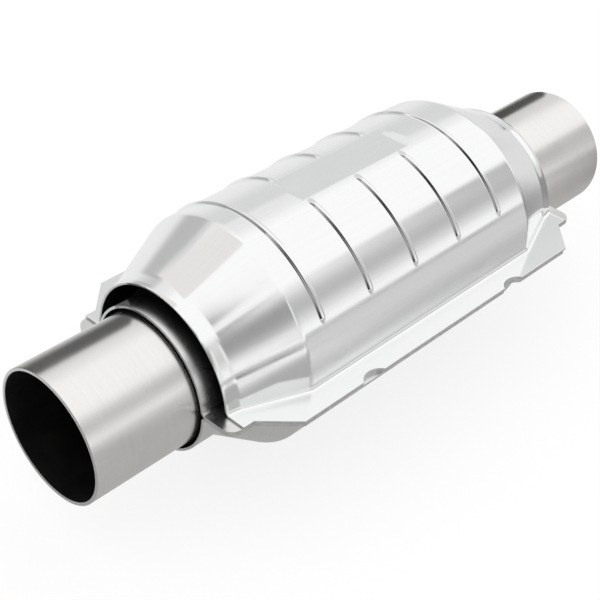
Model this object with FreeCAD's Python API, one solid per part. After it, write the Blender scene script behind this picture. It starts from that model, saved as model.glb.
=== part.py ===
import FreeCAD, Part
import math
import os
from FreeCAD import Vector

# A universal round catalytic converter: two pressed half shells hold two ceramic
# bricks in their mats, a pipe stub enters each neck, and a stamped heat shield
# covers the upper half. Millimetres. The gas runs along +X, the shield is up (+Z),
# and the origin is the centre of the inlet mouth, on the gas axis.

# Overall
overall_length = 342.9      # mouth to mouth, 13.5 in
pipe_exposed = 52.8         # mouth to the lip of the neck

# Pipe stubs
pipe_diameter = 63.5        # 2.5 in exhaust tube
pipe_wall = 1.6
pipe_grip = 13.0            # how far a stub reaches into its neck
lip_gap = 1.9               # open ring between the tube and the lip of the neck
bell_rise = 5.0             # length over which the stub widens to fit the neck's bore

# Half shells
shell_sheet = 1.2
body_radius = 53.85         # outside of the round body
neck_length = 16.1          # lip to the start of the cone
cone_length = 26.3
seam_flange = 13.15         # body side to the edge of the flange
ear_corner = 6.0            # round corner of the flange beside the neck

# Bricks, mats and seals
brick_room = 2.25           # start of the round body to the face of a brick
brick_gap = 12.0            # open space between the two bricks
mount_gap = 6.15            # thickness of the pressed mat
seal_length = 5.0
cell_pitch = 10.0
cell_wall = 1.6
brick_skin = 1.6

# Heat shield
shield_sheet = 1.0
shield_bend = 2.0
shield_side_gap = 0.65      # air between the body and the shield, at the sides
mouth_gap = 6.35            # air between the neck and the shield's rim
rim_setback = 6.5           # lip of the neck to the rim of the shield
rim_centre_height = 0.3
collar_length = 6.3
collar_rise = 1.0           # growth of the radius along the collar
collar_centre_height = 1.2
shield_cone_length = 30.3
shield_overhang = 0.6       # shield flange past the shell flange
corner_cut = 15.0           # 45 degree corner of the flanges
ear_length = 5.8            # straight edge between the rim and the cut corner

# Pressed beads and the flat pad on the crown
bead_count = 5
bead_first = 106.4          # from the inlet mouth
bead_pitch = 29.9
bead_height = 1.1
bead_width = 3.6
bead_crest = 1.0            # flat along the top of a bead
bead_half_angle = 63.0
pad_half_width = 9.9
pad_length = 68.5
pad_offset = 0.6            # from the crest of the second bead

# Notches in the edge of the flanges
notch_radius = 8.0
notch_depth = 3.7
notch_setback = 122.3       # from either mouth

# Slack for comparing places, and a height that clears every plate and cutter
tolerance = 0.01
clear_height = 200.0

# Worked out from the sizes above
pipe_radius = pipe_diameter / 2
neck_bore = pipe_radius + lip_gap
neck_radius = neck_bore + shell_sheet
body_bore = body_radius - shell_sheet
cone_start = pipe_exposed + neck_length
body_start = cone_start + cone_length
middle = overall_length / 2
shell_flange_top = shell_sheet
shell_half_width = body_radius + seam_flange

shield_flange_top = shell_flange_top + shield_sheet
crown_height = shield_flange_top + shield_bend
shield_radius = body_radius + shield_side_gap + shield_sheet
rim_radius = neck_radius + mouth_gap + shield_sheet
collar_radius = rim_radius + collar_rise
rim_x = pipe_exposed + rim_setback
collar_x = rim_x + collar_length
shield_body_x = collar_x + shield_cone_length
shield_half_width = shell_half_width + shield_overhang

front_brick_x = body_start + brick_room
rear_brick_x = middle + brick_gap / 2
brick_length = middle - brick_gap / 2 - front_brick_x
brick_radius = body_bore - mount_gap
mat_length = brick_length - 2 * seal_length

bead_flank = math.atan2(bead_height, (bead_width - bead_crest) / 2)
pad_height = crown_height + math.sqrt(shield_radius ** 2 - pad_half_width ** 2)
pad_start = bead_first + bead_pitch + pad_offset

X = Vector(1, 0, 0)
Y = Vector(0, 1, 0)
Z = Vector(0, 0, 1)


def line(a, b):
    return Part.LineSegment(a, b).toShape()


def arc(a, through, b):
    return Part.Arc(a, through, b).toShape()


# Pressed sheet: a round crown with a bend on each side, which ends at the flange
def bend_foot(radius, centre):
    """Distance from the middle plane to where the shield's bend meets its flat flange."""
    return math.sqrt((radius + shield_bend) ** 2 - (crown_height - centre) ** 2)


def crown_face(x, radius, centre):
    """Section of the shield's crown and bends at x. The crown is an arc about (y 0, z centre)."""
    foot_y = bend_foot(radius, centre)
    tilt = math.atan2(crown_height - centre, foot_y)
    half_turn = (math.radians(270) + math.radians(180) + tilt) / 2

    def surface(crown, bow):
        foot = Vector(x, foot_y, crown_height - bow)
        bend = Vector(x, foot_y + bow * math.cos(half_turn), crown_height + bow * math.sin(half_turn))
        top = Vector(x, crown * math.cos(tilt), centre + crown * math.sin(tilt))
        crest = Vector(x, 0, centre + crown)
        return [
            arc(foot, bend, top),
            arc(top, crest, flipped(top)),
            arc(flipped(top), flipped(bend), flipped(foot)),
        ]

    outer_foot = Vector(x, foot_y, shield_flange_top)
    inner_foot = Vector(x, foot_y, shell_flange_top)
    edges = surface(radius, shield_bend)
    edges += surface(radius - shield_sheet, shield_bend + shield_sheet)
    edges += [line(outer_foot, inner_foot), line(flipped(outer_foot), flipped(inner_foot))]
    return Part.Face(Part.Wire(Part.__sortEdges__(edges)))


def flipped(p):
    return Vector(p.x, -p.y, p.z)


def crown_body(stations):
    """Crown and bends along X through stations of (x, crown radius, crown centre height)."""
    pieces = []
    for (x0, r0, c0), (x1, r1, c1) in zip(stations, stations[1:]):
        first = crown_face(x0, r0, c0)
        if (r0, c0) == (r1, c1):
            pieces.append(first.extrude(X * (x1 - x0)))
        else:
            last = crown_face(x1, r1, c1)
            pieces.append(Part.makeLoft([first.OuterWire, last.OuterWire], True, True))
    return pieces[0].fuse(pieces[1:])


def crown_opening(stations):
    """What the crown and bends leave out of the middle of the flat flange."""
    side = [Vector(x, bend_foot(r, c), shell_flange_top) for x, r, c in stations]
    other = [flipped(p) for p in reversed(side)]
    outline = Part.makePolygon(side + other + [side[0]])
    return Part.Face(outline).extrude(Z * shield_sheet)


def both_ends(stations):
    """Stations of the inlet half, followed by their mirror image."""
    mirrored = [(overall_length - x, *rest) for x, *rest in reversed(stations)]
    return stations + mirrored


def mirrored_end(shape):
    """The outlet end's copy of a piece of the inlet end."""
    return shape.mirror(Vector(middle, 0, 0), X)


# Flange outlines seen from above
def flange_plate(front_x, ear_x, half_width, corner, bottom, sheet):
    """A flat plate with a narrower ear at each end, and 45 degree shoulders."""
    ear_half = half_width - corner_cut
    quarter = [
        Vector(front_x, ear_half, bottom),
        Vector(ear_x, ear_half, bottom),
        Vector(ear_x + corner_cut, half_width, bottom),
    ]
    far = [Vector(overall_length - p.x, p.y, bottom) for p in reversed(quarter)]
    side = quarter + far
    other = [flipped(p) for p in reversed(side)]
    outline = Part.makePolygon(side + other + [side[0]])
    plate = Part.Face(outline).extrude(Z * sheet)
    if corner > 0:
        tips = [e for e in plate.Edges if is_ear_tip(e, front_x, ear_half)]
        plate = plate.makeFillet(corner, tips)
    return plate


def is_ear_tip(edge, front_x, ear_half):
    """True for the upright edges at the outer corners of the four ears."""
    upright = abs(edge.tangentAt(edge.FirstParameter).z) > 1 - tolerance
    place = edge.CenterOfMass
    from_middle = abs(place.x - middle)
    at_end = abs(from_middle - (middle - front_x)) < tolerance
    return upright and at_end and abs(abs(place.y) - ear_half) < tolerance


def notch(from_mouth, side):
    """A round cutter that bites notch_depth into one side of the flanges."""
    reach = shield_half_width + notch_radius - notch_depth
    foot = Vector(from_mouth, side * reach, -clear_height)
    return Part.makeCylinder(notch_radius, 2 * clear_height, foot)


def front_notches():
    return [notch(notch_setback, side) for side in (1, -1)]


def rear_notches():
    return [notch(overall_length - notch_setback, side) for side in (1, -1)]


# Beads that run round the crown
def pressed_ring(x, crest_half, crest_radius, foot_half, foot_radius, root_radius, half_angle):
    """A bar with sloping flanks, bent about the crown's axis. Below its foot it goes on to root_radius."""
    section = [
        (x - foot_half, root_radius),
        (x - foot_half, foot_radius),
        (x - crest_half, crest_radius),
        (x + crest_half, crest_radius),
        (x + foot_half, foot_radius),
        (x + foot_half, root_radius),
    ]
    points = [Vector(along, 0, crown_height + r) for along, r in section]
    face = Part.Face(Part.makePolygon(points + [points[0]]))
    axis = Vector(0, 0, crown_height)
    face.rotate(axis, X, -half_angle)
    return face.revolve(axis, X, 2 * half_angle)


def bead_ridge(x):
    """What a bead adds outside the crown. Its end wall is one sheet thick."""
    half_angle = bead_half_angle + math.degrees(shield_sheet / shield_radius)
    crest_radius = shield_radius + bead_height
    root_radius = shield_radius - shield_sheet / 2
    return pressed_ring(x, bead_crest / 2, crest_radius, bead_width / 2, shield_radius,
                        root_radius, half_angle)


def bead_hollow(x):
    """What a bead takes away inside, one sheet below its outer form."""
    inset = shield_sheet * math.tan(bead_flank / 2)
    inside_radius = shield_radius - shield_sheet
    return pressed_ring(x, bead_crest / 2 - inset, inside_radius + bead_height,
                        bead_width / 2 - inset, inside_radius, inside_radius - shield_sheet,
                        bead_half_angle)


def heat_shield():
    """One stamping: rims, collars, cones, round body, flanges, beads and pad."""
    stations = both_ends([
        (rim_x, rim_radius, rim_centre_height),
        (collar_x, collar_radius, collar_centre_height),
        (shield_body_x, shield_radius, crown_height),
    ])
    flange = flange_plate(rim_x, rim_x + ear_length, shield_half_width, 0,
                          shell_flange_top, shield_sheet)
    sheet = crown_body(stations).fuse(flange.cut(crown_opening(stations))).removeSplitter()
    places = [bead_first + number * bead_pitch for number in range(bead_count)]
    sheet = sheet.fuse([bead_ridge(x) for x in places]).cut([bead_hollow(x) for x in places])
    sheet = sheet.fuse(pad_plate()).cut(space_above_pad())
    return sheet.cut(front_notches() + rear_notches())


def pad_plate():
    """The flat of the pad, with one sheet more at each end to meet the crown."""
    corner = Vector(pad_start - shield_sheet, -pad_half_width, pad_height - shield_sheet)
    length = pad_length + 2 * shield_sheet
    return Part.makeBox(length, 2 * pad_half_width, shield_sheet, corner)


def space_above_pad():
    """What the flat of the pad takes off the crown and the beads."""
    corner = Vector(pad_start, -shield_radius, pad_height)
    return Part.makeBox(pad_length, 2 * shield_radius, clear_height, corner)


# The two half shells share one pressed form
def turned(profile, turn):
    """Solid of revolution about the gas axis from (x, radius) points, from +Y upwards."""
    points = [Vector(x, r, 0) for x, r in profile]
    face = Part.Face(Part.makePolygon(points + [points[0]]))
    return face.revolve(Vector(0, 0, 0), X, turn)


def half_shell():
    """Half a turn of neck, cone and body, with a flat flange at each side."""
    outside = both_ends([
        (pipe_exposed, neck_radius),
        (cone_start, neck_radius),
        (body_start, body_radius),
    ])
    inside = [(x, r - shell_sheet) for x, r in outside]
    round_part = turned(outside + inside[::-1], 180)
    hollow = turned([(pipe_exposed, 0)] + inside + [(overall_length - pipe_exposed, 0)], 360)
    ear_x = rim_x + ear_length + shield_overhang
    flange = flange_plate(pipe_exposed, ear_x, shell_half_width, ear_corner, 0, shell_sheet)
    return round_part.fuse(flange.cut(hollow)).removeSplitter()


def upper_shell():
    return half_shell().cut(front_notches() + rear_notches())


def lower_shell():
    upright = half_shell()
    return upright.mirror(Vector(0, 0, 0), Z).cut(rear_notches())


def pipe_stub():
    """Tube whose inner end is belled out to fit the bore of the neck."""
    outside = [
        (0, pipe_radius),
        (pipe_exposed, pipe_radius),
        (pipe_exposed + bell_rise, neck_bore),
        (pipe_exposed + pipe_grip, neck_bore),
    ]
    inside = [(x, r - pipe_wall) for x, r in outside]
    return turned(outside + inside[::-1], 360)


# Bricks with their mats and end seals
def brick(x):
    """Ceramic monolith with a grid of square channels right through."""
    end = Part.Face(Part.Wire(Part.makeCircle(brick_radius, Vector(x, 0, 0), X)))
    half_cell = (cell_pitch - cell_wall) / 2
    reach = int(brick_radius // cell_pitch)
    cells = []
    for row in range(-reach, reach + 1):
        for column in range(-reach, reach + 1):
            y = column * cell_pitch
            z = row * cell_pitch
            corner = math.hypot(abs(y) + half_cell, abs(z) + half_cell)
            if corner < brick_radius - brick_skin:
                cells.append(channel_mouth(x, y, z, half_cell))
    return end.cut(cells).extrude(X * brick_length)


def channel_mouth(x, y, z, half_cell):
    corners = [(-1, -1), (1, -1), (1, 1), (-1, 1), (-1, -1)]
    points = [Vector(x, y + a * half_cell, z + b * half_cell) for a, b in corners]
    return Part.Face(Part.makePolygon(points))


def ring(x, length, outer, inner):
    tube = Part.makeCylinder(outer, length, Vector(x, 0, 0), X)
    return tube.cut(Part.makeCylinder(inner, length, Vector(x, 0, 0), X))


def mat(x):
    return ring(x + seal_length, mat_length, body_bore, brick_radius)


def inlet_seal(x):
    return ring(x, seal_length, body_bore, brick_radius)


def outlet_seal(x):
    return ring(x + brick_length - seal_length, seal_length, body_bore, brick_radius)


def all_pieces():
    pieces = {
        "heat_shield": heat_shield(),
        "upper_shell": upper_shell(),
        "lower_shell": lower_shell(),
        "inlet_pipe": pipe_stub(),
        "outlet_pipe": mirrored_end(pipe_stub()),
    }
    for name, x in (("front", front_brick_x), ("rear", rear_brick_x)):
        pieces[name + "_brick"] = brick(x)
        pieces[name + "_mat"] = mat(x)
        pieces[name + "_brick_inlet_seal"] = inlet_seal(x)
        pieces[name + "_brick_outlet_seal"] = outlet_seal(x)
    return pieces


def main():
    os.makedirs("parts", exist_ok=True)
    for name, shape in all_pieces().items():
        solid = shape.Solids[0]
        print(name, "solids", len(shape.Solids), "valid", solid.isValid(),
              "volume", round(solid.Volume), "box", solid.BoundBox)
        solid.exportStep(os.path.join("parts", name + ".step"))


main()
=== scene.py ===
# %% [markdown]
# # A catalytic converter with its heat shield
#
# The real object is almost all pressed sheet. Two half shells meet at flat flanges,
# a pipe stub enters each end, and one bright stamping covers the upper half.
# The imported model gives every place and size, so this script builds finer meshes of
# the same pieces in the same frame and gives each its finish.

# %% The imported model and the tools
import math

import bpy
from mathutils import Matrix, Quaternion, Vector


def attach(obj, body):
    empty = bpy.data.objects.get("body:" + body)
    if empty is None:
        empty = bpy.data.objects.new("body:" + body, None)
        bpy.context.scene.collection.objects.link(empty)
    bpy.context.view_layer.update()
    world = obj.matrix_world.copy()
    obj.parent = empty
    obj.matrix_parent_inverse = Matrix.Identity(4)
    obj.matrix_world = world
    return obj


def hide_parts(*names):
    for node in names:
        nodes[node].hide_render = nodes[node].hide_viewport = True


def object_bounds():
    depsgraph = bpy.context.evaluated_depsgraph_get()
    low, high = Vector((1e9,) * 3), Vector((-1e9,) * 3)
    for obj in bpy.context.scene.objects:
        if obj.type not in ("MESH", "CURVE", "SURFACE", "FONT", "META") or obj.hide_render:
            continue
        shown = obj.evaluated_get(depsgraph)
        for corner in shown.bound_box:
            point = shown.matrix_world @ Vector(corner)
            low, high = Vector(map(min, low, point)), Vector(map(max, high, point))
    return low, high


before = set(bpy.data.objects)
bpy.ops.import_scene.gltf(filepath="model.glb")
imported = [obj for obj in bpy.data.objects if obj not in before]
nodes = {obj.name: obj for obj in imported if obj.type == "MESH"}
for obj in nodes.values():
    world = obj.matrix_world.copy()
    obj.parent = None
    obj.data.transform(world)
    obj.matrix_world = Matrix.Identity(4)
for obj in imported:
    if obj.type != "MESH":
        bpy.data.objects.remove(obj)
cad_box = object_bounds()
print("packed nodes:", len(nodes))

# %% [markdown]
# ## Sizes
#
# All sizes are in millimetres from the middle of the inlet mouth, with X along the gas.
# Meshes are scaled to metres when they are made.

# %% Sizes that several pieces share
MM = 0.001
overall_length = 342.9
pipe_exposed = 52.8
body_radius = 53.85
shell_sheet = 1.2
corner_cut = 15.0
notch_places = (122.3, 220.6)
notch_radius = 8.0
notch_centre_y = 71.9
print("object length in metres:", overall_length * MM)

# %% [markdown]
# ## Metal finishes
#
# Rolled and polished sheet is never one flat grey. Fine lines follow the rolling
# direction, and broad soft patches are a little duller where the sheet was handled.
# Both effects are used by several metals, so each is one shader group with its own inputs.

# %% Helpers for materials and shader groups


def new_material(name):
    material = bpy.data.materials.new(name)
    material.use_nodes = True
    return material, material.node_tree.nodes["Principled BSDF"]


def add_group(name, inputs, outputs):
    """An empty shader group with float, colour or vector sockets and their defaults."""
    group = bpy.data.node_groups.new(name, "ShaderNodeTree")
    for label, kind, value in inputs:
        socket = group.interface.new_socket(label, in_out="INPUT", socket_type=kind)
        socket.default_value = value
    for label, kind in outputs:
        group.interface.new_socket(label, in_out="OUTPUT", socket_type=kind)
    return group, group.nodes.new("NodeGroupInput"), group.nodes.new("NodeGroupOutput")


def place_group(material, group, **values):
    node = material.node_tree.nodes.new("ShaderNodeGroup")
    node.node_tree = group
    for label, value in values.items():
        node.inputs[label.replace("_", " ")].default_value = value
    return node


print("material helpers ready")

# %% Helpers for shader nodes


def ranged(tree, source, low, high, out_low, out_high, smooth=False):
    """Remaps a value, clamped."""
    node = tree.nodes.new("ShaderNodeMapRange")
    node.interpolation_type = "SMOOTHSTEP" if smooth else "LINEAR"
    tree.links.new(source, node.inputs["Value"])
    node.inputs["From Min"].default_value = low
    node.inputs["From Max"].default_value = high
    node.inputs["To Min"].default_value = out_low
    node.inputs["To Max"].default_value = out_high
    return node.outputs["Result"]


def blended(tree, factor, first, second):
    """Mixes two plain colours by a value."""
    node = tree.nodes.new("ShaderNodeMix")
    node.data_type = "RGBA"
    tree.links.new(factor, node.inputs["Factor"])
    node.inputs["A"].default_value = (*first, 1)
    node.inputs["B"].default_value = (*second, 1)
    return node.outputs["Result"]


print("node helpers ready")

# %% [markdown]
# The rolling grain is noise stretched along one direction. For tube that was polished
# while it turned, the lines run round the tube, so the group can read the angle round
# the gas axis in place of the height and depth.

# %% Shader group: drawn lines in the metal


def make_drawn_lines():
    tree, given, result = add_group(
        "drawn lines",
        [("Lines Along", "NodeSocketFloat", 20.0), ("Lines Across", "NodeSocketFloat", 2000.0),
         ("Round Tube", "NodeSocketFloat", 0.0)],
        [("Height", "NodeSocketFloat"), ("Streak", "NodeSocketFloat")],
    )
    place = tree.nodes.new("ShaderNodeTexCoord")
    split = tree.nodes.new("ShaderNodeSeparateXYZ")
    tree.links.new(place.outputs["Object"], split.inputs["Vector"])
    angle = tree.nodes.new("ShaderNodeMath")
    angle.operation = "ARCTAN2"
    tree.links.new(split.outputs["Y"], angle.inputs[0])
    tree.links.new(split.outputs["Z"], angle.inputs[1])
    arc_length = tree.nodes.new("ShaderNodeMath")
    arc_length.operation = "MULTIPLY"
    arc_length.inputs[1].default_value = body_radius * MM
    tree.links.new(angle.outputs["Value"], arc_length.inputs[0])

    def scaled(source, factor):
        node = tree.nodes.new("ShaderNodeMath")
        node.operation = "MULTIPLY"
        tree.links.new(source, node.inputs[0])
        tree.links.new(factor, node.inputs[1])
        return node.outputs["Value"]

    def texture(x_factor, y_factor):
        joined = tree.nodes.new("ShaderNodeCombineXYZ")
        tree.links.new(scaled(split.outputs["X"], x_factor), joined.inputs["X"])
        tree.links.new(scaled(arc_length.outputs["Value"], y_factor), joined.inputs["Y"])
        noise = tree.nodes.new("ShaderNodeTexNoise")
        noise.inputs["Scale"].default_value = 1.0
        noise.inputs["Detail"].default_value = 3.0
        tree.links.new(joined.outputs["Vector"], noise.inputs["Vector"])
        return noise.outputs["Fac"]

    lengthwise = texture(given.outputs["Lines Along"], given.outputs["Lines Across"])
    round_about = texture(given.outputs["Lines Across"], given.outputs["Lines Along"])
    choice = tree.nodes.new("ShaderNodeMix")
    tree.links.new(given.outputs["Round Tube"], choice.inputs["Factor"])
    tree.links.new(lengthwise, choice.inputs["A"])
    tree.links.new(round_about, choice.inputs["B"])
    tree.links.new(choice.outputs["Result"], result.inputs["Height"])
    streak = ranged(tree, choice.outputs["Result"], 0.3, 0.7, 0.0, 1.0, smooth=True)
    tree.links.new(streak, result.inputs["Streak"])
    return tree


drawn_lines = make_drawn_lines()
print("group:", drawn_lines.name)

# %% [markdown]
# Hands and racks leave the sheet duller in broad soft patches. One noise gives them, and
# the same group serves as the grain of the painted inner shade, ceramic and fibre at a finer
# scale.

# %% Shader group: handling marks


def make_handling_marks():
    group, given, result = add_group(
        "handling marks",
        [("Patch Scale", "NodeSocketFloat", 30.0), ("Spread", "NodeSocketFloat", 0.2)],
        [("Dullness", "NodeSocketFloat")],
    )
    place = group.nodes.new("ShaderNodeTexCoord")
    noise = group.nodes.new("ShaderNodeTexNoise")
    noise.inputs["Detail"].default_value = 4.0
    noise.inputs["Roughness"].default_value = 0.6
    group.links.new(place.outputs["Object"], noise.inputs["Vector"])
    group.links.new(given.outputs["Patch Scale"], noise.inputs["Scale"])
    spread = group.nodes.new("ShaderNodeMath")
    spread.operation = "MULTIPLY"
    patches = ranged(group, noise.outputs["Fac"], 0.35, 0.7, 0.0, 1.0, smooth=True)
    group.links.new(patches, spread.inputs[0])
    group.links.new(given.outputs["Spread"], spread.inputs[1])
    group.links.new(spread.outputs["Value"], result.inputs["Dullness"])
    return group


handling_marks = make_handling_marks()
print("group:", handling_marks.name)

# %% [markdown]
# The shield is the brightest, nearly a mirror. The shells are satin, the stubs were
# polished round, and the sheared edges are coarse, so the four differ mostly in roughness
# and in the direction and depth of their lines.

# %% Sheet and tube metals


def make_metal(name, bright, dull, roughness, along, across, round_tube, depth, patch=0.06):
    """Metal with drawn lines in its colour and surface, and duller handled patches."""
    material, surface = new_material(name)
    tree = material.node_tree
    lines = place_group(material, drawn_lines, Lines_Along=along, Lines_Across=across,
                        Round_Tube=round_tube)
    marks = place_group(material, handling_marks, Patch_Scale=26.0, Spread=patch)
    colour = blended(tree, lines.outputs["Streak"], dull, bright)
    tree.links.new(colour, surface.inputs["Base Color"])
    surface.inputs["Metallic"].default_value = 1.0
    base = tree.nodes.new("ShaderNodeMath")
    base.operation = "ADD"
    base.inputs[1].default_value = roughness
    tree.links.new(marks.outputs["Dullness"], base.inputs[0])
    tree.links.new(base.outputs["Value"], surface.inputs["Roughness"])
    bump = tree.nodes.new("ShaderNodeBump")
    bump.inputs["Strength"].default_value = 0.25
    bump.inputs["Distance"].default_value = depth * MM
    tree.links.new(lines.outputs["Height"], bump.inputs["Height"])
    tree.links.new(bump.outputs["Normal"], surface.inputs["Normal"])
    return material


bright_sheet = make_metal("bright sheet", (0.955, 0.958, 0.957), (0.935, 0.94, 0.942),
                          roughness=0.09, along=12.0, across=900.0, round_tube=0.0, depth=0.002)
shell_metal = make_metal("satin shell sheet", (0.845, 0.84, 0.83), (0.80, 0.795, 0.785),
                         roughness=0.22, along=14.0, across=1200.0, round_tube=0.0, depth=0.004)
tube_metal = make_metal("polished tube", (0.91, 0.895, 0.88), (0.88, 0.865, 0.85),
                        roughness=0.22, along=18.0, across=2200.0, round_tube=1.0, depth=0.003)
cut_edge = make_metal("sheared edge", (0.76, 0.76, 0.755), (0.60, 0.60, 0.595),
                      roughness=0.35, along=400.0, across=900.0, round_tube=0.0, depth=0.01)
print("metals:", bright_sheet.name, shell_metal.name, tube_metal.name, cut_edge.name)

# %% [markdown]
# The inner faces get painted shade: a near-black matt material stands in for the shade
# in the mouth of the shield, inside the shells and in the bore of each pipe.

# %% Painted shade on the inner faces


# A near-black matt material that paints shade, with a faint random grain.
def make_painted_shade(name, dark, pale):
    material, surface = new_material(name)
    tree = material.node_tree
    marks = place_group(material, handling_marks, Patch_Scale=60.0, Spread=1.0)
    colour = blended(tree, marks.outputs["Dullness"], dark, pale)
    tree.links.new(colour, surface.inputs["Base Color"])
    surface.inputs["Roughness"].default_value = 0.75
    surface.inputs["Specular IOR Level"].default_value = 0.15
    bump = tree.nodes.new("ShaderNodeBump")
    bump.inputs["Strength"].default_value = 0.3
    bump.inputs["Distance"].default_value = 0.02 * MM
    tree.links.new(marks.outputs["Dullness"], bump.inputs["Height"])
    tree.links.new(bump.outputs["Normal"], surface.inputs["Normal"])
    return material


# Painted shade: nearly black, for the shade on the inner faces.
painted_inner_shade = make_painted_shade("painted inner shade", (0.004, 0.004, 0.004), (0.010, 0.009, 0.008))
print("scale:", painted_inner_shade.name)

# %% [markdown]
# Mats and seals are hidden between brick and shell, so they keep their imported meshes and
# only get a matt, bumpy finish.

# %% Ceramic, fibre and wire, which sit inside the shells


def make_coarse(name, first, second, patch_scale, roughness, depth):
    """Matt material with coloured grain and a bumpy surface."""
    material, surface = new_material(name)
    tree = material.node_tree
    marks = place_group(material, handling_marks, Patch_Scale=patch_scale, Spread=1.0)
    colour = blended(tree, marks.outputs["Dullness"], first, second)
    tree.links.new(colour, surface.inputs["Base Color"])
    surface.inputs["Roughness"].default_value = roughness
    bump = tree.nodes.new("ShaderNodeBump")
    bump.inputs["Distance"].default_value = depth * MM
    tree.links.new(marks.outputs["Dullness"], bump.inputs["Height"])
    tree.links.new(bump.outputs["Normal"], surface.inputs["Normal"])
    return material


ceramic = make_coarse("washcoated ceramic", (0.36, 0.30, 0.22), (0.47, 0.41, 0.32),
                      patch_scale=900.0, roughness=0.85, depth=0.03)
fibre = make_coarse("pressed fibre", (0.80, 0.77, 0.70), (0.68, 0.65, 0.58),
                    patch_scale=700.0, roughness=0.95, depth=0.1)
wire = make_coarse("knitted wire", (0.42, 0.41, 0.39), (0.16, 0.155, 0.15),
                   patch_scale=1600.0, roughness=0.45, depth=0.25)
for ending, material in (("brick", ceramic), ("mat", fibre), ("seal", wire)):
    for name, node in nodes.items():
        if name.endswith(ending):
            node.data.materials.clear()
            node.data.materials.append(material)
print("inside materials:", ceramic.name, fibre.name, wire.name)

# %% [markdown]
# ## Pressed sheet
#
# A stamping could be modelled by hand with subdivision, but its form is exact: at each
# place along the gas axis the section is a round crown, a bend on each side and a flat
# flange. So the outer face is a grid of such sections, close together where the form
# changes quickly, and a Solidify modifier gives the sheet its thickness.

# %% Helpers for the places of sections
closest_places = 0.12
bend_margin = 0.2
notch_pitch = 0.6


def spaced(start, stop, pitch):
    """Evenly spaced places from start to stop."""
    count = max(1, round((stop - start) / pitch))
    return [start + (stop - start) * i / count for i in range(count + 1)]


def joined_places(exact, filling):
    """All exact places, and the filling ones that don't crowd them or each other."""
    kept = sorted(set(exact))
    first, last = kept[0], kept[-1]
    for place in sorted(filling):
        if first < place < last and all(abs(place - other) > closest_places for other in kept):
            kept.append(place)
    return sorted(kept)


def places_round_bends(knots, knee, pitch):
    """Close places over each rounded bend, at both ends of the converter."""
    places = []
    for knot, _ in knots:
        for place in (knot, overall_length - knot):
            places += spaced(place - knee - bend_margin, place + knee + bend_margin, pitch)
    return places


def notch_span(centre, half_width):
    """The ends of a notch, and places along it."""
    reach = math.sqrt(notch_radius ** 2 - (notch_centre_y - half_width) ** 2)
    return [centre - reach, centre + reach], spaced(centre - reach, centre + reach, notch_pitch)


print("sections at least", closest_places, "mm apart")

# %% Helpers for lines with rounded bends


def ramp(distance, knee):
    """Zero, then rising one for one, with the corner rounded over the knee."""
    if distance <= -knee:
        return 0.0
    if distance >= knee:
        return distance
    return (distance + knee) ** 2 / (4 * knee)


def pressed_line(x, knots, knee):
    """Straight runs between (x, value) knots with rounded bends, level after the last."""
    slopes = [(b[1] - a[1]) / (b[0] - a[0]) for a, b in zip(knots, knots[1:])] + [0.0]
    value = knots[0][1] + slopes[0] * (x - knots[0][0])
    for (place, _), before, after in zip(knots[1:], slopes, slopes[1:]):
        value += (after - before) * ramp(x - place, knee)
    return value


def from_nearer_end(x):
    return min(x, overall_length - x)


print("line helpers ready")

# %% Edge of a flange, with its cut corners and notches


def flange_edge(x, front_x, ear_x, half_width, corner, notches):
    """Distance from the middle plane to the edge of the flange at x."""
    near = from_nearer_end(x)
    ear_half = half_width - corner_cut
    edge = min(half_width, ear_half + max(0.0, near - ear_x))
    if near < front_x + corner:
        short = front_x + corner - near
        edge = min(edge, ear_half - corner + math.sqrt(max(0.0, corner ** 2 - short ** 2)))
    for centre in notches:
        off = abs(x - centre)
        if off < notch_radius:
            edge = min(edge, notch_centre_y - math.sqrt(notch_radius ** 2 - off ** 2))
    return edge


print("deepest place of a notch:", notch_centre_y - notch_radius, "mm from the middle")

# %% One section across the sheet
bend_steps = 8
flange_guard = 0.35
flange_shares = (0.35, 0.7)


def section(x, radius, centre, flange_top, bend, edge, shares, lift):
    """Points across the sheet at x, from the flange edge at -y to the one at +y.

    The shares divide the crown, and lift gives the place of one of its points.
    """
    bend_z = flange_top + bend
    foot = math.sqrt((radius + bend) ** 2 - (bend_z - centre) ** 2)
    tilt = math.atan2(bend_z - centre, foot)
    crown_end = math.pi / 2 - tilt
    side = []
    for share in shares:
        angle = share * crown_end
        side.append(lift(x, angle, radius, centre))
    for step in range(1, bend_steps + 1):
        turn = math.pi + tilt + crown_end * step / bend_steps
        side.append((foot + bend * math.cos(turn), bend_z + bend * math.sin(turn)))
    width = edge - foot
    inner_reaches = [flange_guard] + [width * share for share in flange_shares]
    for reach in inner_reaches + [width - flange_guard, width]:
        side.append((foot + reach, flange_top))
    left = [(x, -y, z) for y, z in reversed(side[1:])]
    return left + [(x, y, z) for y, z in side]


def round_crown(x, angle, radius, centre):
    return radius * math.sin(angle), centre + radius * math.cos(angle)


print("steps in a bend:", bend_steps)

# %% Helpers that turn points into pieces


def add_piece(name, points, faces, materials, face_slots=None):
    """A mesh object from millimetre points."""
    mesh = bpy.data.meshes.new(name)
    mesh.from_pydata([(x * MM, y * MM, z * MM) for x, y, z in points], [], faces)
    for material in materials:
        mesh.materials.append(material)
    if face_slots:
        mesh.polygons.foreach_set("material_index", face_slots)
    mesh.update()
    piece = bpy.data.objects.new(name, mesh)
    bpy.context.scene.collection.objects.link(piece)
    return piece


def settle(piece, crease=32.0):
    """Keeps the result of the modifiers as the mesh, smooth up to the crease angle."""
    bpy.context.view_layer.update()
    graph = bpy.context.evaluated_depsgraph_get()
    mesh = bpy.data.meshes.new_from_object(piece.evaluated_get(graph))
    rough = piece.data
    piece.modifiers.clear()
    piece.data = mesh
    bpy.data.meshes.remove(rough)
    mesh.name = piece.name
    mesh.shade_smooth()
    mesh.set_sharp_from_angle(angle=math.radians(crease))
    print(piece.name, "faces", len(mesh.polygons))
    return piece


def stands_for(piece, node):
    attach(piece, "root")
    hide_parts(node)


print("piece helpers ready")

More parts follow.
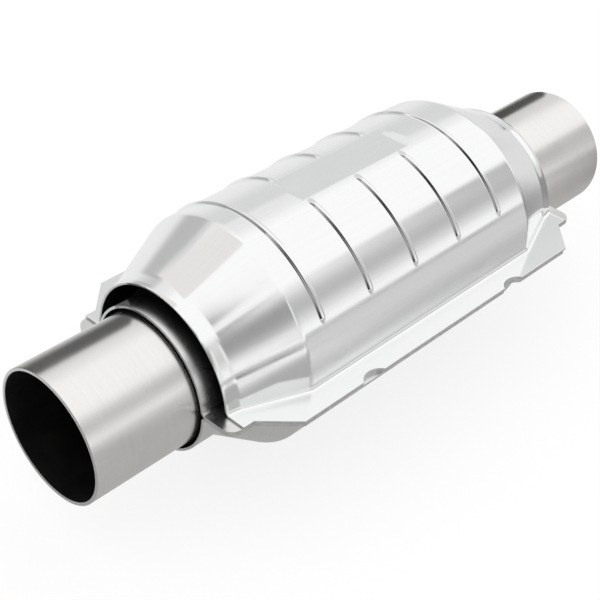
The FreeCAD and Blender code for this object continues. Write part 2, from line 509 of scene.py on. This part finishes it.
# %% Helper for pressed sheet
eased_width = 0.12
flat_tolerance = 0.02


def pressed_sheet(name, sections, thickness, materials, mating_z):
    """Sheet of even thickness under a grid of sections, with its sheared edges eased.

    The inner face gets painted shade, but the flange's face at mating_z keeps the first
    material.
    """
    across = len(sections[0])
    points = [point for row in sections for point in row]
    faces = []
    for i in range(len(sections) - 1):
        for j in range(across - 1):
            start = i * across + j
            faces.append((start, start + across, start + across + 1, start + 1))
    piece = add_piece(name, points, faces, materials)
    solid = piece.modifiers.new("thickness", "SOLIDIFY")
    solid.thickness = thickness * MM
    solid.offset = -1.0
    # The inner face takes the second material, which is painted shade.
    solid.material_offset = 1
    solid.material_offset_rim = 2
    ease = piece.modifiers.new("eased edges", "BEVEL")
    ease.width = eased_width * MM
    ease.segments = 2
    ease.limit_method = "ANGLE"
    ease.angle_limit = math.radians(60)
    settle(piece)
    for face in piece.data.polygons:
        off = abs(face.center.z - mating_z * MM)
        if face.material_index == 1 and off < flat_tolerance * MM:
            face.material_index = 0
    return piece


print("sheared edges are eased by", eased_width, "mm")

# %% [markdown]
# ## Heat shield
#
# The shield opens with a short straight rim, widens over a cone and runs level over the
# body. Five beads stiffen it. Each is a narrow raised ridge that ends in a short point
# above the flange, and the three in the middle stop at a flat pad on the crown.

# %% Form of the heat shield
shield_sheet = 1.0
shield_half_width = 67.6
shield_flange_top = 2.2
shield_bend = 2.0
shield_knee = 1.1
shield_front_x = 59.3
shield_ear_x = 65.1
shield_cone_x = 65.6
shield_body_x = 95.9
crown_radius_knots = [(shield_front_x, 42.2), (shield_cone_x, 43.2), (shield_body_x, 55.5)]
crown_centre_knots = [(shield_front_x, 0.3), (shield_cone_x, 1.2), (shield_body_x, 4.2)]
print("shield from", shield_front_x, "to", overall_length - shield_front_x, "mm")

# %% [markdown]
# The beads and the pad could be sculpted or laid on with a displacement map. As numbers
# added to the crown at each place and angle they stay crisp, and they move with a value.

# %% Beads of the shield
first_bead = 108.2
bead_step = 29.9
bead_places = [first_bead + bead_step * number for number in range(5)]
bead_height = 1.1
bead_half_width = 1.9
bead_crest_share = 0.22
bead_end = math.radians(64.2)
bead_fade = math.radians(2.4)
bead_taper = 0.8
broken_beads = (1, 2, 3)
broken_start = math.radians(10.6)
broken_fade = math.radians(1.6)


def bead_strength(number, angle):
    """One along a bead, falling to zero at its pointed ends."""
    strength = (bead_end - abs(angle)) / bead_fade
    if number in broken_beads:
        strength = min(strength, (abs(angle) - broken_start) / broken_fade)
    return max(0.0, min(1.0, strength))


def bead_rise(x, angle):
    """Height of the beads above the crown."""
    for number, place in enumerate(bead_places):
        strength = bead_strength(number, angle)
        half_width = bead_half_width * strength ** bead_taper
        if strength > 0 and abs(x - place) < half_width:
            share = abs(x - place) / half_width
            slope = max(0.0, (share - bead_crest_share) / (1 - bead_crest_share))
            return bead_height * strength ** bead_taper * 0.5 * (1 + math.cos(math.pi * slope))
    return 0.0


print("beads at", [round(place, 1) for place in bead_places])

# %% Pad on the crown
pad_start = 136.1
pad_end = 209.4
pad_height = 58.81
pad_step = 0.07
pad_ramp = 5.0


def shield_crown(x, angle, radius, centre):
    """The crown with its beads, and the flat of the pad pressed down into it."""
    y, z = round_crown(x, angle, radius + bead_rise(x, angle), centre)
    if pad_start < x < pad_end:
        crown_top = radius + centre
        climb = max(0.0, 1 - (pad_end - x) / pad_ramp)
        z = min(z, pad_height + (crown_top - pad_height) * climb)
    return y, z


print("pad from", pad_start, "to", pad_end, "mm")

# %% [markdown]
# The grid is fine only where the sheet turns. Across it the rows crowd at the pad's edge
# and at the tips of the beads, and along it they crowd at the beads, bends and notches.

# %% Places and angles of the shield's grid
shield_pitch = 2.4
bead_pitch = 0.2
shield_bend_pitch = 0.25
crown_degrees = ([0, 3, 6, 8, 9.4, 10.28] + [10.6 + 0.6 * i for i in range(11)]
                 + [18 + 2 * i for i in range(21)] + [59 + 0.5 * i for i in range(12)]
                 + [66 + 2 * i for i in range(12)] + [90])
crown_shares = [degree / 90 for degree in crown_degrees]


def shield_places():
    first, last = shield_front_x, overall_length - shield_front_x
    exact = [first, last, shield_ear_x, shield_ear_x + corner_cut]
    exact += [overall_length - shield_ear_x, overall_length - shield_ear_x - corner_cut]
    exact += [pad_start - pad_step, pad_start + pad_step, pad_end - pad_ramp, pad_end]
    filling = spaced(first, last, shield_pitch)
    for centre in notch_places:
        ends, inner = notch_span(centre, shield_half_width)
        exact += ends
        filling += inner
    for place in bead_places:
        start = place - bead_half_width - bend_margin
        stop = place + bead_half_width + bend_margin
        filling += spaced(start, stop, bead_pitch)
    filling += places_round_bends(crown_radius_knots[1:], shield_knee, shield_bend_pitch)
    return joined_places(exact, filling)


print("rows on each side of the crown:", len(crown_shares))

# %% Heat shield


def shield_section(x):
    near = from_nearer_end(x)
    radius = pressed_line(near, crown_radius_knots, shield_knee)
    centre = pressed_line(near, crown_centre_knots, shield_knee)
    edge = flange_edge(x, shield_front_x, shield_ear_x, shield_half_width, 0.0, notch_places)
    return section(x, radius, centre, shield_flange_top, shield_bend, edge, crown_shares,
                   shield_crown)


shield_rows = [shield_section(x) for x in shield_places()]
# The second material paints shade on the shield's inner face.
heat_shield = pressed_sheet("stamped_heat_shield", shield_rows, shield_sheet,
                            [bright_sheet, painted_inner_shade, cut_edge], shell_sheet)
stands_for(heat_shield, "heat_shield")

# %% [markdown]
# ## Half shells
#
# The two shells come from one die. Each has a neck that takes the pipe, a cone and half
# of the round body. The upper one is notched at both places along its flange, the lower
# one only at the rear. The lower shell is the same grid turned over.

# %% Form of the half shells
shell_half_width = 67.0
shell_bend = 1.6
shell_knee = 1.6
shell_ear_x = 65.7
neck_radius = 34.85
cone_start = 68.9
body_start = 95.2
shell_knots = [(pipe_exposed, neck_radius), (cone_start, neck_radius), (body_start, body_radius)]
ear_corner = 6.0
print("shell bends at", cone_start, "and", body_start, "mm from each end")

# %% Places and angles of the shells' grid
corner_steps = 9
crown_steps = 44
shell_shares = [step / crown_steps for step in range(crown_steps + 1)]
shell_pitch = 3.0
shell_bend_pitch = 0.35


def shell_places(notches):
    first, last = pipe_exposed, overall_length - pipe_exposed
    exact = [first, last]
    filling = spaced(first, last, shell_pitch)
    for place in (shell_ear_x, shell_ear_x + corner_cut):
        exact += [place, overall_length - place]
    for step in range(1, corner_steps + 1):
        place = pipe_exposed + ear_corner * (1 - math.cos(math.pi / 2 * step / corner_steps))
        exact += [place, overall_length - place]
    for centre in notches:
        ends, inner = notch_span(centre, shell_half_width)
        exact += ends
        filling += inner
    filling += places_round_bends(shell_knots[1:], shell_knee, shell_bend_pitch)
    return joined_places(exact, filling)


print("places along a shell:", len(shell_places(notch_places)))

# %% Half shells


def shell_section(x, notches):
    radius = pressed_line(from_nearer_end(x), shell_knots, shell_knee)
    edge = flange_edge(x, pipe_exposed, shell_ear_x, shell_half_width, ear_corner, notches)
    return section(x, radius, 0.0, shell_sheet, shell_bend, edge, shell_shares, round_crown)


def shell_rows(notches):
    return [shell_section(x, notches) for x in shell_places(notches)]


def turned_over(row):
    return [(x, y, -z) for x, y, z in reversed(row)]


upper_rows = shell_rows(notch_places)
lower_rows = [turned_over(row) for row in shell_rows(notch_places[1:])]
# The second material paints shade on the inner faces of the shells.
shell_materials = [shell_metal, painted_inner_shade, cut_edge]
upper_shell = pressed_sheet("upper_half_shell", upper_rows, shell_sheet, shell_materials, 0.0)
lower_shell = pressed_sheet("lower_half_shell", lower_rows, shell_sheet, shell_materials, 0.0)
stands_for(upper_shell, "upper_shell")
stands_for(lower_shell, "lower_shell")

# %% [markdown]
# ## Pipe stubs
#
# A stub is welded tube, so it is turned from one profile. Its mouth is cut square and
# lightly deburred, and its inner end is belled out to fit the neck. The bore and the belled
# end inside the neck get painted shade, which with the gap gives the narrow dark ring round the
# tube.

# %% Helpers for turned pieces
turn_steps = 192
turned_crease = 25.0


def turned_grid(profile):
    """Points and quads of a closed profile of (x, radius) turned about the gas axis."""
    count = len(profile)
    points, faces = [], []
    for step in range(turn_steps):
        turn = 2 * math.pi * step / turn_steps
        points += [(x, r * math.sin(turn), r * math.cos(turn)) for x, r in profile]
        here, there = step * count, (step + 1) % turn_steps * count
        for i in range(count):
            j = (i + 1) % count
            faces.append((here + i, here + j, there + j, there + i))
    return points, faces


def turned_piece(name, profile, materials):
    """Closed profile of (x, radius, material slot) turned about the gas axis."""
    points, faces = turned_grid([(x, r) for x, r, _ in profile])
    face_slots = [slot for _, _, slot in profile] * turn_steps
    piece = add_piece(name, points, faces, materials, face_slots)
    return settle(piece, turned_crease)


print("steps in a turn:", turn_steps)

# %% Profile of a stub
pipe_radius = 31.75
pipe_wall = 1.6
mouth_round = 0.35
mouth_steps = 4
mouth_land = 1.0
lip_margin = 0.6
bell_x = 57.8
bell_radius = 33.65
stub_end = 65.8


def stub_profile():
    """From the mouth along the outside to the belled end and back through the bore."""
    bore = pipe_radius - pipe_wall
    # The dark slot is painted shade, on the belled end and in the bore.
    outside, dark, rim = 0, 1, 2
    turns = [math.pi / 2 * step / mouth_steps for step in range(mouth_steps + 1)]
    corner = [(1 - math.sin(turn), 1 - math.cos(turn)) for turn in turns]
    outer_mouth = [(mouth_round * along, pipe_radius - mouth_round * down, rim)
                   for along, down in reversed(corner)]
    inner_mouth = [(mouth_round * along, bore + mouth_round * down, rim)
                   for along, down in corner]
    outer = [
        (mouth_round, pipe_radius, outside),
        (mouth_land, pipe_radius, outside),
        (pipe_exposed - lip_margin, pipe_radius, outside),
        (pipe_exposed, pipe_radius, dark),
        (bell_x, bell_radius, dark),
        (stub_end, bell_radius, dark),
    ]
    inner = [
        (stub_end, bell_radius - pipe_wall, dark),
        (bell_x, bell_radius - pipe_wall, dark),
        (pipe_exposed, bore, dark),
        (mouth_land, bore, dark),
    ]
    return outer_mouth[:-1] + outer + inner + inner_mouth[:-1]


def mirrored_places(profile):
    return [(overall_length - x, r, slot) for x, r, slot in reversed(profile)]


print("points in a stub's profile:", len(stub_profile()))

# %% Pipe stubs
# The second material paints shade in the bore and on the belled end.
tube_materials = [tube_metal, painted_inner_shade, cut_edge]
inlet_stub = turned_piece("inlet_pipe_stub", stub_profile(), tube_materials)
outlet_stub = turned_piece("outlet_pipe_stub", mirrored_places(stub_profile()), tube_materials)
stands_for(inlet_stub, "inlet_pipe")
stands_for(outlet_stub, "outlet_pipe")

# %% [markdown]
# ## Ceramic bricks
#
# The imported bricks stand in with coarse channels. The real ones have about sixty cells to
# the square centimetre, which is only two crossed stacks of thin webs in a round skin.

# %% Webs of a brick
cell_pitch = 1.27
web_thickness = 0.2
web_recess = 0.01
brick_skin = 1.0
web_quads = ((0, 1, 2, 3), (7, 6, 5, 4), (0, 4, 5, 1), (1, 5, 6, 2), (2, 6, 7, 3), (3, 7, 4, 0))


def web_points(start, end, place, reach, level):
    """The eight corners of an upright or level web."""
    half = web_thickness / 2
    recess = web_recess if level else 0.0
    points = []
    for x in (start + recess, end - recess):
        for across, along in ((-half, -reach), (half, -reach), (half, reach), (-half, reach)):
            side = place + across
            points.append((x, along, side) if level else (x, side, along))
    return points


def brick_of_webs(name, start, end, radius):
    """A tube of skin with upright and level webs across its bore."""
    bore = radius - brick_skin
    points, faces = turned_grid([(start, radius), (end, radius), (end, bore), (start, bore)])
    count = int((bore - web_thickness) // cell_pitch)
    for number in range(-count, count + 1):
        place = number * cell_pitch
        reach = math.sqrt((bore + brick_skin / 2) ** 2 - place ** 2)
        for level in (False, True):
            first = len(points)
            points += web_points(start, end, place, reach, level)
            faces += [tuple(first + i for i in quad) for quad in web_quads]
    piece = add_piece(name, points, faces, [ceramic])
    return settle(piece, turned_crease)


print("cells to the square centimetre:", round((10 / cell_pitch) ** 2))

# %% Ceramic bricks


def packed_corners(node):
    """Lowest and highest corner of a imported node, in millimetres."""
    corners = [node.matrix_world @ Vector(corner) for corner in node.bound_box]
    low = [min(corner[i] for corner in corners) / MM for i in range(3)]
    high = [max(corner[i] for corner in corners) / MM for i in range(3)]
    return low, high


for place_name in ("front", "rear"):
    low, high = packed_corners(nodes[place_name + "_brick"])
    finer_brick = brick_of_webs(place_name + "_ceramic_brick", low[0], high[0], high[1])
    stands_for(finer_brick, place_name + "_brick")

# %% [markdown]
# ## Studio
#
# Bright metal shows the room more than itself. The object stands on a white floor under
# an even white sky. Round it stand soft-edged grey cards for the walls, ends and table of
# a room, and they give the reflections their bands. They can be seen only in reflections.

# %% Floor and sky
floor_z = cad_box[0].z
floor_reach = 40.0
floor_grey = 0.84
floor_glow = 1.1
floor_glow_share = 0.7


def make_floor():
    material, surface = new_material("studio floor")
    tree = material.node_tree
    tree.nodes.remove(surface)
    diffuse = tree.nodes.new("ShaderNodeBsdfDiffuse")
    diffuse.inputs["Color"].default_value = (floor_grey, floor_grey, floor_grey, 1)
    glow = tree.nodes.new("ShaderNodeEmission")
    glow.inputs["Color"].default_value = (1.0, 1.0, 1.0, 1)
    glow.inputs["Strength"].default_value = floor_glow
    mixed = tree.nodes.new("ShaderNodeMixShader")
    mixed.inputs["Fac"].default_value = floor_glow_share
    tree.links.new(diffuse.outputs["BSDF"], mixed.inputs[1])
    tree.links.new(glow.outputs["Emission"], mixed.inputs[2])
    tree.links.new(mixed.outputs["Shader"], tree.nodes["Material Output"].inputs["Surface"])
    mesh = bpy.data.meshes.new("floor")
    corners = [(x * floor_reach, y * floor_reach, floor_z)
               for x, y in ((-1, -1), (1, -1), (1, 1), (-1, 1))]
    mesh.from_pydata(corners, [], [(0, 1, 2, 3)])
    mesh.materials.append(material)
    floor = bpy.data.objects.new("floor", mesh)
    bpy.context.scene.collection.objects.link(floor)


make_floor()
world = bpy.data.worlds.new("even white sky")
world.use_nodes = True
sky = world.node_tree.nodes["Background"]
sky.inputs["Color"].default_value = (1.0, 1.0, 1.0, 1)
sky.inputs["Strength"].default_value = 1.0
bpy.context.scene.world = world
print("floor at z =", round(floor_z, 4), "m")

# %% [markdown]
# A lamp or a softbox would also light the rest of the scene. A card that glows at its own
# grey and is hidden from all but reflections changes only what the metal shows, and its
# soft edges keep the bands from looking cut out.

# %% Mask with soft edges


def soft_edges(tree, left, right, low, high):
    """A mask over a card that fades towards each edge over the given share of the card."""
    place = tree.nodes.new("ShaderNodeTexCoord")
    split = tree.nodes.new("ShaderNodeSeparateXYZ")
    tree.links.new(place.outputs["UV"], split.inputs["Vector"])
    sides = [
        ranged(tree, split.outputs["X"], 0.0, left, 0.0, 1.0, True),
        ranged(tree, split.outputs["X"], 1.0 - right, 1.0, 1.0, 0.0, True),
        ranged(tree, split.outputs["Y"], 0.0, low, 0.0, 1.0, True),
        ranged(tree, split.outputs["Y"], 1.0 - high, 1.0, 1.0, 0.0, True),
    ]
    mask = sides[0]
    for side in sides[1:]:
        product = tree.nodes.new("ShaderNodeMath")
        product.operation = "MULTIPLY"
        tree.links.new(mask, product.inputs[0])
        tree.links.new(side, product.inputs[1])
        mask = product.outputs["Value"]
    return mask


print("mask helper ready")

# %% Helper for one card


def add_card(name, corners, colour, fades):
    """A four-cornered card in metres, seen only in reflections.

    The fades are for the left, right, low and high edges.
    """
    material, surface = new_material(name)
    tree = material.node_tree
    tree.nodes.remove(surface)
    clear = tree.nodes.new("ShaderNodeBsdfTransparent")
    tone = tree.nodes.new("ShaderNodeEmission")
    tone.inputs["Color"].default_value = (*colour, 1)
    mixed = tree.nodes.new("ShaderNodeMixShader")
    tree.links.new(soft_edges(tree, *fades), mixed.inputs["Fac"])
    tree.links.new(clear.outputs["BSDF"], mixed.inputs[1])
    tree.links.new(tone.outputs["Emission"], mixed.inputs[2])
    tree.links.new(mixed.outputs["Shader"], tree.nodes["Material Output"].inputs["Surface"])
    mesh = bpy.data.meshes.new(name)
    mesh.from_pydata(corners, [], [(0, 1, 2, 3)])
    layer = mesh.uv_layers.new(name="card")
    for loop, uv in zip(layer.data, ((0, 0), (1, 0), (1, 1), (0, 1))):
        loop.uv = uv
    mesh.materials.append(material)
    card = bpy.data.objects.new(name, mesh)
    bpy.context.scene.collection.objects.link(card)
    card.visible_camera = False
    card.visible_diffuse = False
    card.visible_transmission = False
    card.visible_volume_scatter = False
    card.visible_shadow = False


print("card helper ready")

# %% Cards by where they stand
hard = 0.001


def box_corners(across, along):
    (a0, a1), (b0, b1) = across, along
    return [(a0, b0), (a1, b0), (a1, b1), (a0, b1)]


def on_wall(y, corners):
    """Corners given as (x, z), at one distance to the side."""
    return [(x, y, z) for x, z in corners]


def on_table(lift, corners):
    """Corners given as (x, y), just above the floor."""
    return [(x, y, floor_z + lift) for x, y in corners]


def wall_card(name, y, across, height, colour, fades):
    """An upright card that faces the object from the +y or -y side."""
    add_card(name, on_wall(y, box_corners(across, height)), colour, fades)


def table_card(name, lift, across, depth, colour, fades):
    """A card that lies just above the floor."""
    add_card(name, on_table(lift, box_corners(across, depth)), colour, fades)


def end_card(name, x, across, height, colour, fades):
    """An upright card beyond one end of the object."""
    corners = [(x, y, z) for y, z in box_corners(across, height)]
    add_card(name, corners, colour, fades)


def grey(value):
    return (value, value, value)


print("edges that stay hard fade over", hard, "of a card")

# %% Far wall, seen in the upper side of the body
far_y = 1.0
wall_cool = (0.695, 0.70, 0.70)
corner_beige = (0.82, 0.80, 0.785)
wall_card("far wall", far_y, (-0.07, 1.15), (floor_z, 1.03), wall_cool, (hard, hard, 0.03, hard))
rising_end = [(1.15, floor_z), (5.0, floor_z), (5.0, 2.95), (1.15, 1.03)]
add_card("far wall's rising end", on_wall(far_y, rising_end), wall_cool, (hard, 0.1, 0.02, hard))
wall_card("above the far wall", far_y + 0.02, (-0.07, 5.0), (1.0, 3.2), grey(0.82),
          (hard, 0.1, hard, 0.99))
wall_card("shaded stretch of the far wall", far_y - 0.02, (-0.05, 0.35), (0.1, 1.0), grey(0.50),
          (0.2, 0.5, 0.3, 0.3))
wall_card("beige corner", far_y, (-1.5, -0.07), (0.8, 5.3), corner_beige,
          (hard, hard, 0.02, hard))
wall_card("low corner", far_y, (-1.5, -0.02), (floor_z, 0.8), grey(0.45), (0.1, 0.05, 0.1, 0.1))
print("far wall at y =", far_y, "m")

# %% Ends and corners of the room, seen in the cones
near_y = -2.0
end_card("dark side", -1.52, (-2.3, 1.3), (floor_z, 4.0), grey(0.02), (0.08, 0.5, hard, 0.02))
end_card("paler stretch of the dark side", -1.50, (-2.2, 0.2), (0.15, 1.4), grey(0.38),
         (0.2, 0.3, 0.3, 0.6))
far_corner = [(-3.0, floor_z), (-0.2, floor_z), (-0.5, 1.3), (-3.0, 6.0)]
add_card("dark far corner", on_wall(far_y - 0.01, far_corner), grey(0.30),
         (hard, 0.05, hard, 0.05))
wall_card("dark near corner", near_y + 0.05, (-2.6, -0.7), (floor_z, 2.5), grey(0.20),
          (hard, 0.2, hard, 0.1))
end_card("pale end", 2.2, (-1.6, 0.95), (floor_z, 0.3), grey(0.68), (0.1, 0.1, 0.02, 0.5))
wall_card("foot of the far wall", far_y - 0.01, (-0.07, 5.0), (floor_z, 0.62), grey(0.84),
          (hard, 0.1, hard, 0.9))
print("ends and corners placed")

# %% Near wall, seen low on the near side
wall_card("near wall", near_y, (-3.0, 5.0), (0.1, 2.6), grey(0.50), (0.1, 0.1, 0.4, 0.6))
wall_card("taller end of the near wall", near_y + 0.01, (1.9, 5.0), (1.2, 2.6), grey(0.50),
          (0.4, 0.1, 0.2, 0.35))
wall_card("darker left of the near wall", near_y + 0.02, (-1.8, 0.4), (0.4, 2.2), grey(0.34),
          (0.3, 0.4, 0.45, 0.5))
wall_card("pale gap in the near wall", near_y + 0.03, (-0.42, 0.30), (0.1, 2.0), grey(0.80),
          (0.2, 0.3, 0.1, 0.3))
wall_card("low end of the near wall", near_y + 0.03, (2.4, 5.0), (-0.05, 0.9), grey(0.42),
          (0.08, 0.1, hard, 0.5))
wall_card("skirting", near_y + 0.04, (-3.0, 5.0), (floor_z, 0.16), grey(0.48),
          (0.05, 0.05, hard, 0.6))
print("near wall at y =", near_y, "m")

# %% Table, seen in the flanges and the lower side
table_card("shade beside the object", 0.0008, (-0.3, 0.6), (-0.30, 0.12), grey(0.42),
           (0.3, 0.2, 0.64, 0.2))
table_card("table in front", 0.0005, (0.05, 5.0), (-2.0, 0.05), grey(0.63),
           (0.057, 0.05, 0.05, 0.05))
table_card("table behind", 0.0006, (-1.0, 5.0), (0.05, 1.0), grey(0.85), (0.1, 0.05, 0.05, 0.05))
table_card("dark end of the table", 0.0016, (-2.6, -0.06), (-2.0, 0.1), grey(0.08),
           (hard, 0.04, 0.05, 0.1))
table_card("pale patch left of the shade", 0.0018, (-0.12, 0.06), (-0.7, -0.10), grey(0.85),
           (0.1, 0.3, 0.1, 0.15))
beyond_outlet = [(0.45, -0.07), (3.0, -0.15), (3.0, 0.6), (0.6, 0.6)]
add_card("table beyond the outlet", on_table(0.0014, beyond_outlet), grey(0.75),
         (0.06, 0.1, 0.08, 0.2))
print("table at z =", round(floor_z, 4), "m")

# %% Shade on the table before each stub
shade_lift = 0.001
inlet_shade = [(-0.04, -0.75), (0.50, -0.75), (0.16, -0.03), (-0.04, -0.03)]
add_card("shade before the inlet", on_table(shade_lift, inlet_shade), grey(0.42),
         (0.3, 0.25, 0.3, 0.1))
outlet_shade = [(1.02, -0.75), (2.2, -0.75), (1.5, -0.03), (0.30, -0.03)]
add_card("shade before the outlet", on_table(shade_lift, outlet_shade), grey(0.28),
         (0.1, 0.3, 0.3, 0.05))
print("shades placed")

# %% [markdown]
# Each stub shows a dark stripe along the top of its far side. A narrow flag close behind
# each tube gives it without showing in the cones.

# %% Flags behind the stubs
wall_card("inlet flag", 0.020, (-0.012, 0.0592), (0.022, 0.048), grey(0.10),
          (hard, hard, 0.36, 0.24))
wall_card("outlet flag", 0.012, (0.298, 0.351), (0.0285, 0.0368), grey(0.06),
          (hard, 0.1, 0.1, 0.2))
wall_card("low outlet flag", 0.020, (0.298, 0.356), (0.0250, 0.0330), grey(0.10),
          (hard, 0.1, 0.4, 0.1))
print("cards placed")

# %% [markdown]
# ## Camera
#
# A long lens looks down along the converter from the inlet end, a little turned about
# its own axis.

# %% Camera
camera_place = Vector((-203.83, -338.68, 355.65)) * MM
camera_aim = Vector((171.45, 25.737, -32.578)) * MM
camera_roll = math.radians(1.0818)
camera_data = bpy.data.cameras.new("camera")
camera_data.lens = 76.7255
camera_data.sensor_width = 36.0
camera = bpy.data.objects.new("camera", camera_data)
bpy.context.scene.collection.objects.link(camera)
camera.rotation_mode = "QUATERNION"
camera.location = camera_place
aimed = (camera_aim - camera_place).to_track_quat("-Z", "Y")
camera.rotation_quaternion = aimed @ Quaternion((0, 0, 1), camera_roll)
camera_data.clip_start = 0.01
camera_data.clip_end = 200.0
bpy.context.scene.camera = camera
bpy.context.scene.view_settings.view_transform = "Standard"
print("camera", [round(value, 3) for value in camera.location])
